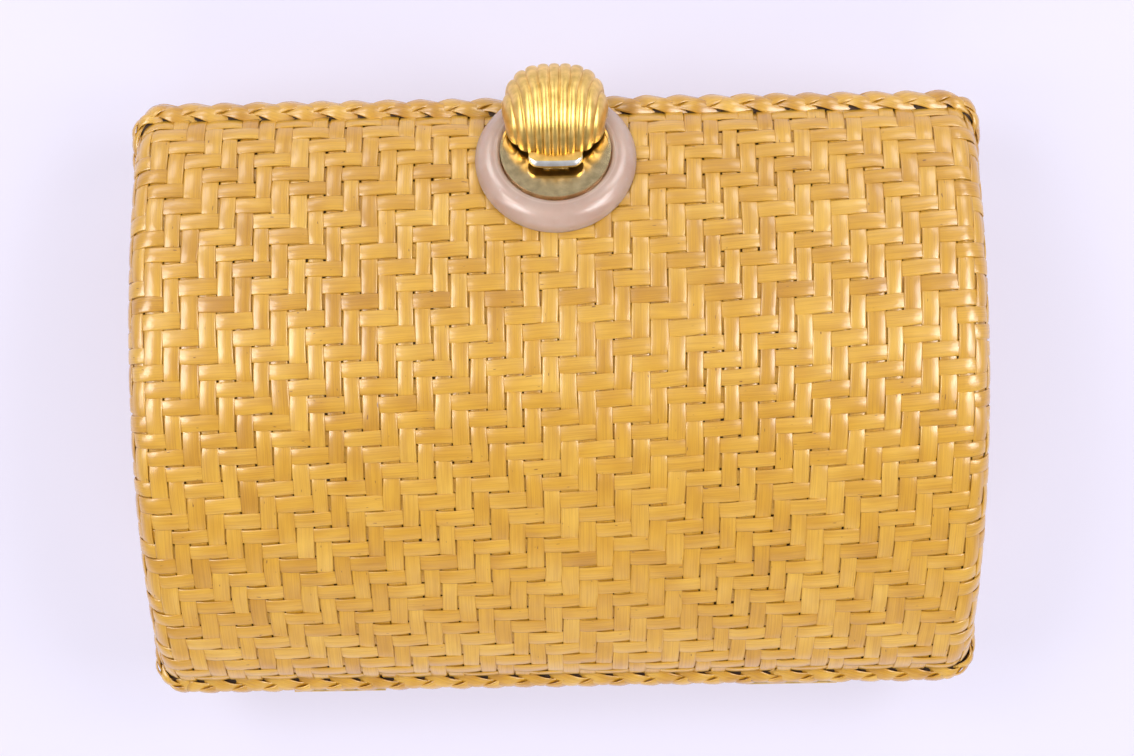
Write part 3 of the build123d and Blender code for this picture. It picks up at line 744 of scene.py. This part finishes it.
def gusset(side, side_name, material):
    """One cloth triangle: from the back half in to its fold, and out again to the front half."""
    share = np.linspace(0, 1, GUSSET_ROWS)[:, None]
    path = np.linspace(-1, 1, GUSSET_COLUMNS)[None, :]
    depth = GUSSET_POINT + (GUSSET_FOLD - GUSSET_POINT) * share
    bend = np.sqrt(path**2 + GUSSET_TURN_SHARE**2) - math.sqrt(1 + GUSSET_TURN_SHARE**2)
    x = side * (GUSSET_OUTER + depth * bend)
    y = np.broadcast_to(-GUSSET_END + 2 * GUSSET_END * share, x.shape)
    z = np.broadcast_to(PARTING + GUSSET_RISE * path, x.shape)
    middle = np.stack([x, y, z], -1)
    along = np.gradient(middle, axis=0)
    across = np.gradient(middle, axis=1)
    normal = np.cross(along, across)
    normal /= np.linalg.norm(normal, axis=-1, keepdims=True)
    offset = normal * GUSSET_THICKNESS / 2
    return shell(f"{side_name}_cloth_gusset", middle + offset, middle - offset, material)


# Materials: colour stops are a place on a ramp and a colour, texture scales are for straw's own grain in
# millimetres or for a piece's place in metres

STRAW_TONES = [(0.0, (0.47, 0.215, 0.012)), (0.45, (0.62, 0.325, 0.022)), (1.0, (0.74, 0.45, 0.075))]
STRAW_STREAKS = [(0.32, (0.62, 0.48, 0.34)), (0.55, (1.0, 1.0, 1.0)), (0.8, (1.18, 1.18, 1.2))]
STRAW_PATCHES = [(0.35, (0.86, 0.78, 0.62)), (0.65, (1.06, 1.06, 1.04))]
STRAW_SPOTS = [(0.76, (0.0, 0.0, 0.0)), (0.80, (0.9, 0.9, 0.9))]
SPECK_BROWN = (0.20, 0.075, 0.012)
FIBRE_SCALE = (0.05, 3.2, 1.0)
BLOTCH_SCALE = (0.09, 0.25, 1.0)
SPECK_SCALE = (0.42, 1.5, 1.0)
UNDER_SCALE = (0.4, 0.4, 0.4)
UNDER_STOP_SHARES = (0.3, 0.7)
STREAK_SHARE = 0.4
PATCH_SHARE = 0.5
FIBRE_BUMP_SHARE = 0.35
FIBRE_DEPTH = 0.12

PLATE_CLOUD_SCALE = (420.0, 420.0, 420.0)
SCRATCH_SCALE = (2600.0, 500.0, 900.0)
PLATE_PALE_SHARES = (1.12, 0.05)
PLATE_DEEP_SHARE = 0.86
PLATE_STOP_SHARES = (0.35, 0.68)

STONE_CLOUDS = [(0.3, (0.70, 0.50, 0.41)), (0.7, (0.82, 0.65, 0.56))]
STONE_FLECKS = [(0.72, (0.0, 0.0, 0.0)), (0.80, (0.5, 0.5, 0.5))]
# From the bore to the outer edge: a painted highlight line at the crest, darker towards the bore and the outer
# edge
STONE_CREST_HIGHLIGHT_RAMP = [
    (0.0, (0.9, 0.9, 0.9)),
    (0.17, (0.96, 0.96, 0.96)),
    (0.21, (1.14, 1.13, 1.13)),
    (0.27, (0.97, 0.96, 0.96)),
    (0.6, (1.04, 1.03, 1.02)),
    (1.0, (0.92, 0.89, 0.88)),
]
FLECK_PINK = (0.80, 0.68, 0.66)
STONE_CLOUD_SCALE = (110.0, 110.0, 110.0)
FLECK_SCALE = (700.0, 700.0, 700.0)
STONE_SCATTER = 4.0

SATIN_CLOUDS = [(0.3, (0.50, 0.33, 0.13)), (0.7, (0.68, 0.49, 0.23))]
SATIN_CLOUD_SCALE = (30.0, 30.0, 30.0)
THREAD_SCALE = (1500.0, 120.0, 1500.0)
THREAD_BUMP_SHARE = 0.25
THREAD_DEPTH = 0.1

STEEL_STREAKS = [(0.3, (0.42, 0.42, 0.43)), (0.7, (0.66, 0.66, 0.67))]
BRUSHED_SCALE = (3000.0, 200.0, 3000.0)

# Sockets of a mix node in its colour mode: the factor, the two colours and the result
MIX_FACTOR = 0
MIX_FIRST = 6
MIX_SECOND = 7
MIX_RESULT = 2


def set_inputs(node, values):
    """Set a node's sockets by their names."""
    for name, value in values.items():
        node.inputs[name].default_value = value


def new_material(name, colour, metallic=0.0, roughness=0.5):
    """A new material with its node tree and its shader."""
    material = bpy.data.materials.new(name)
    material.use_nodes = True
    shader = material.node_tree.nodes["Principled BSDF"]
    set_inputs(shader, {"Base Color": (*colour, 1), "Metallic": metallic, "Roughness": roughness})
    return material, material.node_tree, shader


def add_node(tree, kind, **settings):
    """A new node with its settings."""
    node = tree.nodes.new(kind)
    for name, value in settings.items():
        setattr(node, name, value)
    return node


def object_place(tree):
    """Socket with the place on a piece, in metres."""
    return add_node(tree, "ShaderNodeTexCoord").outputs["Object"]


def strip_value(tree, name, output):
    """Socket with a value that the mesh carries."""
    return add_node(tree, "ShaderNodeAttribute", attribute_name=name).outputs[output]


def colour_ramp(tree, factor, stops):
    """Colour that runs through the stops as the factor rises."""
    ramp = tree.nodes.new("ShaderNodeValToRGB")
    elements = ramp.color_ramp.elements
    while len(elements) < len(stops):
        elements.new(0.5)
    for element, (position, colour) in zip(elements, stops):
        element.position = position
        element.color = (*colour, 1)
    tree.links.new(factor, ramp.inputs[0])
    return ramp.outputs[0]


def mixed(tree, factor, first, second, mode="MIX"):
    """Colour mix of two sockets or colours."""
    mix = add_node(tree, "ShaderNodeMix", data_type="RGBA", blend_type=mode)
    for index, value in ((MIX_FACTOR, factor), (MIX_FIRST, first), (MIX_SECOND, second)):
        if isinstance(value, bpy.types.NodeSocket):
            tree.links.new(value, mix.inputs[index])
        elif isinstance(value, tuple):
            mix.inputs[index].default_value = (*value, 1)
        else:
            mix.inputs[index].default_value = value
    return mix.outputs[MIX_RESULT]


def vector_math(tree, operation, first, second=None):
    """Node that works on one vector socket, and on a constant vector if there is one."""
    node = add_node(tree, "ShaderNodeVectorMath", operation=operation)
    tree.links.new(first, node.inputs[0])
    if second is not None:
        node.inputs[1].default_value = second
    return node


def noise(tree, place, scale, detail=3.0, roughness=0.5):
    """Cloudy noise over a vector socket, with a scale for each direction."""
    scaled = vector_math(tree, "MULTIPLY", place, scale).outputs[0]
    texture = tree.nodes.new("ShaderNodeTexNoise")
    set_inputs(texture, {"Scale": 1.0, "Detail": detail, "Roughness": roughness})
    tree.links.new(scaled, texture.inputs["Vector"])
    return texture.outputs["Fac"]


def add_bump(tree, shader, height, strength, depth):
    """Bump the shader's surface by a height socket."""
    bump = tree.nodes.new("ShaderNodeBump")
    set_inputs(bump, {"Strength": strength, "Distance": depth * MM})
    tree.links.new(height, bump.inputs["Height"])
    tree.links.new(bump.outputs["Normal"], shader.inputs["Normal"])


def straw_material():
    """Varnished straw: each strip has its own tone, with grain along it and a few brown specks."""
    material, tree, shader = new_material("straw", (0.7, 0.43, 0.13), roughness=0.4)
    grain = strip_value(tree, "grain", "Vector")
    base = colour_ramp(tree, strip_value(tree, "tone", "Fac"), STRAW_TONES)
    fibres = noise(tree, grain, FIBRE_SCALE, detail=4.0, roughness=0.65)
    base = mixed(tree, STREAK_SHARE, base, colour_ramp(tree, fibres, STRAW_STREAKS), "MULTIPLY")
    blotch = noise(tree, grain, BLOTCH_SCALE, detail=2.0)
    base = mixed(tree, PATCH_SHARE, base, colour_ramp(tree, blotch, STRAW_PATCHES), "MULTIPLY")
    specks = noise(tree, grain, SPECK_SCALE, detail=1.0)
    base = mixed(tree, colour_ramp(tree, specks, STRAW_SPOTS), base, SPECK_BROWN)
    tree.links.new(base, shader.inputs["Base Color"])
    set_inputs(shader, {"Specular IOR Level": 0.5, "Coat Weight": 1.0, "Coat Roughness": 0.2})
    add_bump(tree, shader, fibres, FIBRE_BUMP_SHARE, FIBRE_DEPTH)
    return material


def shaded_straw_material(name, deep, pale):
    """Plain straw with soft clouds, for what lies under the strips; in near black it paints the shade in the gaps
    between strips and strands.
    """
    material, tree, shader = new_material(name, deep, roughness=0.8)
    cloud = noise(tree, strip_value(tree, "grain", "Vector"), UNDER_SCALE)
    shade = colour_ramp(tree, cloud, list(zip(UNDER_STOP_SHARES, (deep, pale))))
    tree.links.new(shade, shader.inputs["Base Color"])
    return material


def plated_material(name, colour, roughness, wear):
    """Polished plate with faint scratches and dull patches, rougher by up to `wear`."""
    material, tree, shader = new_material(name, colour, metallic=1.0, roughness=roughness)
    place = object_place(tree)
    cloud = noise(tree, place, PLATE_CLOUD_SCALE, detail=4.0)
    gain, lift = PLATE_PALE_SHARES
    pale = tuple(min(1.0, channel * gain + lift) for channel in colour)
    deep = tuple(channel * PLATE_DEEP_SHARE for channel in colour)
    shade = colour_ramp(tree, cloud, list(zip(PLATE_STOP_SHARES, (deep, pale))))
    tree.links.new(shade, shader.inputs["Base Color"])
    scratch = noise(tree, place, SCRATCH_SCALE, detail=2.0)
    rough = tree.nodes.new("ShaderNodeMapRange")
    set_inputs(rough, {"To Min": roughness, "To Max": roughness + wear})
    tree.links.new(scratch, rough.inputs["Value"])
    tree.links.new(rough.outputs["Result"], shader.inputs["Roughness"])
    return material


def clasp_distance(tree, place, near, far):
    """Distance from the clasp seat's axis, as a share of the way from `near` to `far`."""
    middle = on_clasp((0, 0, 0)) * MM
    axis = (0, math.sin(CLASP_TILT), math.cos(CLASP_TILT))
    offset = vector_math(tree, "SUBTRACT", place, middle)
    across = vector_math(tree, "CROSS_PRODUCT", offset.outputs[0], axis)
    length = vector_math(tree, "LENGTH", across.outputs[0])
    share = tree.nodes.new("ShaderNodeMapRange")
    set_inputs(share, {"From Min": near * MM, "From Max": far * MM})
    tree.links.new(length.outputs["Value"], share.inputs["Value"])
    return share.outputs["Result"]


def dish_material():
    """Polished pale gold whose face is slightly dished."""
    material = plated_material("polished_dish", (0.72, 0.57, 0.31), roughness=0.11, wear=0.05)
    tree = material.node_tree
    share = clasp_distance(tree, object_place(tree), 0, BEZEL_RADIUS)
    rise = add_node(tree, "ShaderNodeMath", operation="MULTIPLY")
    for factor in rise.inputs[:2]:
        tree.links.new(share, factor)
    add_bump(tree, tree.nodes["Principled BSDF"], rise.outputs[0], 1.0, DISH_DEPTH)
    return material


def stone_material():
    """Pale translucent pink quartz with soft clouds and small inclusions, lighter in a thin painted highlight line
    round its crest and darker towards the bore and the outer edge.
    """
    material, tree, shader = new_material("rose_quartz", (0.80, 0.68, 0.69), roughness=0.26)
    place = object_place(tree)
    shade = colour_ramp(tree, noise(tree, place, STONE_CLOUD_SCALE, detail=4.0), STONE_CLOUDS)
    flecks = colour_ramp(tree, noise(tree, place, FLECK_SCALE, detail=1.0), STONE_FLECKS)
    shade = mixed(tree, flecks, shade, FLECK_PINK)
    # Painted highlight line round the crest, darker towards the bore and the outer edge
    rings = colour_ramp(tree, clasp_distance(tree, place, STONE_BORE, STONE_RADIUS), STONE_CREST_HIGHLIGHT_RAMP)
    tree.links.new(mixed(tree, 1.0, shade, rings, "MULTIPLY"), shader.inputs["Base Color"])
    set_inputs(
        shader,
        {
            "IOR": 1.54,
            "Subsurface Weight": 0.5,
            "Subsurface Radius": (1.0, 0.7, 0.65),
            "Subsurface Scale": STONE_SCATTER * MM,
            "Transmission Weight": 0.45,
            "Coat Weight": 0.18,
            "Coat Roughness": 0.06,
        },
    )
    return material


def satin_material():
    """Gold satin lining with a fine weave."""
    material, tree, shader = new_material("satin", (0.60, 0.42, 0.18), roughness=0.45)
    place = object_place(tree)
    thread = tree.nodes.new("ShaderNodeTexWave")
    set_inputs(thread, {"Scale": 1.0, "Distortion": 0.6})
    scaled = vector_math(tree, "MULTIPLY", place, THREAD_SCALE).outputs[0]
    tree.links.new(scaled, thread.inputs["Vector"])
    shade = colour_ramp(tree, noise(tree, place, SATIN_CLOUD_SCALE), SATIN_CLOUDS)
    tree.links.new(shade, shader.inputs["Base Color"])
    set_inputs(shader, {"Sheen Weight": 0.4, "Sheen Roughness": 0.35})
    add_bump(tree, shader, thread.outputs["Fac"], THREAD_BUMP_SHARE, THREAD_DEPTH)
    return material


def steel_material():
    """Brushed spring steel."""
    material, tree, shader = new_material("spring_steel", (0.55, 0.55, 0.56), metallic=1.0, roughness=0.3)
    brushed = noise(tree, object_place(tree), BRUSHED_SCALE, detail=2.0)
    tree.links.new(colour_ramp(tree, brushed, STEEL_STREAKS), shader.inputs["Base Color"])
    return material


def floor_material():
    """Pale matt floor that glows a little, as a lit backdrop does."""
    material, _, shader = new_material("pale_floor", (0.36, 0.345, 0.41), roughness=0.75)
    set_inputs(
        shader,
        {"Emission Color": (0.46, 0.44, 0.53, 1), "Emission Strength": 1.0, "Specular IOR Level": 0.2},
    )
    return material


straw = straw_material()
# Near-black straw under the strips and the plait is painted shade in the gaps between them; bound straw is the
# straw's own colour
painted_shade_straw = shaded_straw_material("painted_shade_straw", (0.022, 0.009, 0.003), (0.075, 0.032, 0.009))
bound_straw = shaded_straw_material("bound_straw", (0.42, 0.22, 0.035), (0.56, 0.31, 0.06))
gold = plated_material("gold_plate", (0.77, 0.51, 0.14), roughness=0.32, wear=0.1)
dish_gold = dish_material()
# Paler plate on the tab's lip: a painted reflection of light from below
lip_painted_reflection = plated_material("lip_painted_reflection", (0.90, 0.87, 0.84), roughness=0.26, wear=0.08)
quartz = stone_material()
satin = satin_material()
steel = steel_material()


def dress(piece, body, slot, *nodes):
    """Give a new piece its body and hide the solids that it stands for; `slot` is not used."""
    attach(piece, body)
    if nodes:
        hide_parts(*nodes)


# Woven halves, their inner walls and linings

WALL_OUTER = -0.62
WALL_INNER = -1.6
LINING_OUTER = -1.9
LINING_INNER = -2.9
FRONT_STEPS = 4
BACK_STEPS = 3

for half, steps in ((FRONT, FRONT_STEPS), (BACK, BACK_STEPS)):
    wefts, warps = weave(half, steps)
    dress(wefts.build(f"{half.name}_wefts", straw), half.name, "straw", f"{half.name}_shell")
    dress(warps.build(f"{half.name}_warps", straw), half.name, "straw", f"{half.name}_shell")
    # The inner wall's near-black colour is painted shade seen through the gaps between the strips
    wall = tray(f"{half.name}_inner_wall", half, WALL_OUTER - half.sink, WALL_INNER, painted_shade_straw)
    dress(wall, half.name, "straw", f"{half.name}_shell")
    cloth = tray(f"{half.name}_satin_lining", half, LINING_OUTER, LINING_INNER, satin)
    dress(cloth, half.name, "lining", f"{half.name}_lining")
    dress(plaited_rim(half, straw), half.name, "straw", f"{half.name}_rim")
    dress(rim_core(half, painted_shade_straw, bound_straw), half.name, "straw", f"{half.name}_rim")

# Gussets

for side, side_name in SIDES:
    cloth = gusset(side, side_name, satin)
    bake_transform(cloth)
    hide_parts(f"{side_name}_gusset")

# Clasp: the rocker's dome, tab, claw and lugs, and the spring under the tab

dress(fluted_dome(gold), "clasp", "gold", "clasp_rocker")
dress(thumb_tab(gold, lip_painted_reflection), "clasp", "gold", "clasp_rocker")
claw_face = RIM_HALF_Y + CLAW_OFFSET
claw_foot = PARTING - CLAW_DROP
claw_top = on_clasp((0, DOME_MIDDLE, DOME_CENTRE_HEIGHT))[2] + CLAW_REACH
claw = soft_block(
    "clasp_claw",
    (-CLAW_WIDTH / 2, claw_face, claw_foot),
    (CLAW_WIDTH / 2, claw_face + CLAW_THICKNESS, claw_top),
    gold,
)
dress(claw, "clasp", "gold", "clasp_rocker")
nib = soft_block(
    "claw_nib",
    (-CLAW_WIDTH / 2, claw_face - NIB_DEPTH, claw_foot),
    (CLAW_WIDTH / 2, claw_face + CLAW_THICKNESS / 2, claw_foot + NIB_HEIGHT),
    gold,
)
dress(nib, "clasp", "gold", "clasp_rocker")
lug_top = DOME_CENTRE_HEIGHT + DOME_RADIUS / 2 + EYE_RADIUS
for side, side_name in SIDES:
    middle = side * LUG_SPREAD
    lug = soft_block(
        f"{side_name}_lug",
        (middle - LUG_THICKNESS / 2, PIVOT_ALONG - EYE_RADIUS, PIVOT_HEIGHT - EYE_RADIUS),
        (middle + LUG_THICKNESS / 2, PIVOT_ALONG + EYE_RADIUS, lug_top),
        gold,
        on_clasp,
    )
    dress(lug, "clasp", "gold", "clasp_rocker")

spring = leaf_spring(steel)
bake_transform(spring)
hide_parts("return_spring")

# Materials of the solids that stay

SLOT_FINISH = {"gold": gold, "stone": quartz, "steel": steel, "lining": satin, "straw": straw}
for entry in frame["record"]["subparts"]:
    node = frame["nodes"][entry["node"]]
    node.data.materials.clear()
    finish = dish_gold if entry["node"] == "clasp_plate" else SLOT_FINISH[entry["material_slot"]]
    node.data.materials.append(finish)

# Stage: a pale floor and a camera at the photo's angle

FLOOR_SIZE = 16000.0
CAMERA_DISTANCE = 520.0
CAMERA_TILT = math.radians(8.0)
FRAME_WIDTH = 277.0
SENSOR = 36.0
CAMERA_AIM = (3.14, 9.8)
CAMERA_ROLL = math.radians(1.0)

floor = Builder()
reach = FLOOR_SIZE / 2
floor.add([(-reach, -reach, 0), (reach, -reach, 0), (reach, reach, 0), (-reach, reach, 0)], [(0, 1, 2, 3)])
floor_piece = floor.build("floor", floor_material())

camera_data = bpy.data.cameras.new("camera")
camera_data.sensor_width = SENSOR
camera_data.lens = SENSOR * CAMERA_DISTANCE / FRAME_WIDTH
camera = bpy.data.objects.new("camera", camera_data)
bpy.context.scene.collection.objects.link(camera)
aim = Vector((*CAMERA_AIM, FRONT.apex))
camera.location = (aim + CAMERA_DISTANCE * Vector((0, math.sin(CAMERA_TILT), math.cos(CAMERA_TILT)))) * MM
camera.rotation_euler = (-CAMERA_TILT, 0, -CAMERA_ROLL)
bpy.context.scene.camera = camera

# Lights: soft areas round the bag, some for the matt surfaces alone and some for highlights alone

WHITE = (1.0, 1.0, 1.0)
WARM = (1.0, 0.985, 0.96)
COOL = (0.98, 0.98, 1.0)
LIGHT_AIM = (0, 0, 40)
UPPER_SIZE = (480, 300)
SIDE_SIZE = (260, 700)
UPPER_POWER = 1.45
GLOSS_POWER = 3.0

# An area light: its place and size in millimetres, its power in watts, and whether it lights
# the matt and the glossy share of a surface
Light = namedtuple("Light", "name place size power colour diffuse glossy", defaults=(WHITE, True, True))
lights = [
    Light("key", (-600, 420, 860), (420, 420), 3.8, WARM),
    Light("fill", (640, 360, 820), (380, 380), 3.4, COOL),
    Light("upper_left", (-480, 900, 520), UPPER_SIZE, UPPER_POWER),
    Light("upper_right", (480, 900, 520), UPPER_SIZE, UPPER_POWER),
    Light("left", (-760, -40, 720), SIDE_SIZE, 2.2),
    Light("right", (760, -40, 720), SIDE_SIZE, 2.6),
    Light("low", (0, -860, 480), (860, 300), 4.2, glossy=False),
]
for side, side_name in SIDES:
    upper_place = (side * 480, 900, 520)
    lights.append(Light(f"upper_{side_name}_gloss", upper_place, UPPER_SIZE, GLOSS_POWER, diffuse=False))
    side_place = (side * 620, 120, 860)
    lights.append(Light(f"{side_name}_gloss", side_place, (240, 520), GLOSS_POWER, diffuse=False))

for light in lights:
    lamp_data = bpy.data.lights.new(light.name, "AREA")
    lamp_data.shape = "RECTANGLE"
    lamp_data.size = light.size[0] * MM
    lamp_data.size_y = light.size[1] * MM
    lamp_data.energy = light.power
    lamp_data.color = light.colour
    lamp = bpy.data.objects.new(light.name, lamp_data)
    lamp.location = Vector(light.place) * MM
    lamp.rotation_euler = (Vector(LIGHT_AIM) - Vector(light.place)).to_track_quat("-Z", "Y").to_euler()
    lamp.visible_diffuse = light.diffuse
    lamp.visible_glossy = light.glossy
    bpy.context.scene.collection.objects.link(lamp)

# Sky: pale round the bag and darker above it

SKY_STRENGTH = 0.52
SKY_COLOURS = [(0.0, (1.0, 0.99, 1.0)), (0.4, (0.78, 0.77, 0.80)), (1.0, (0.5, 0.49, 0.53))]

world = bpy.data.worlds.new("studio")
world.use_nodes = True
world_tree = world.node_tree
background = world_tree.nodes["Background"]
background.inputs["Strength"].default_value = SKY_STRENGTH
sky = add_node(world_tree, "ShaderNodeTexCoord").outputs["Generated"]
sky_height = add_node(world_tree, "ShaderNodeSeparateXYZ")
world_tree.links.new(sky, sky_height.inputs[0])
sky_colour = colour_ramp(world_tree, sky_height.outputs["Z"], SKY_COLOURS)
world_tree.links.new(sky_colour, background.inputs["Color"])
bpy.context.scene.world = world
bpy.context.scene.view_settings.view_transform = "Standard"
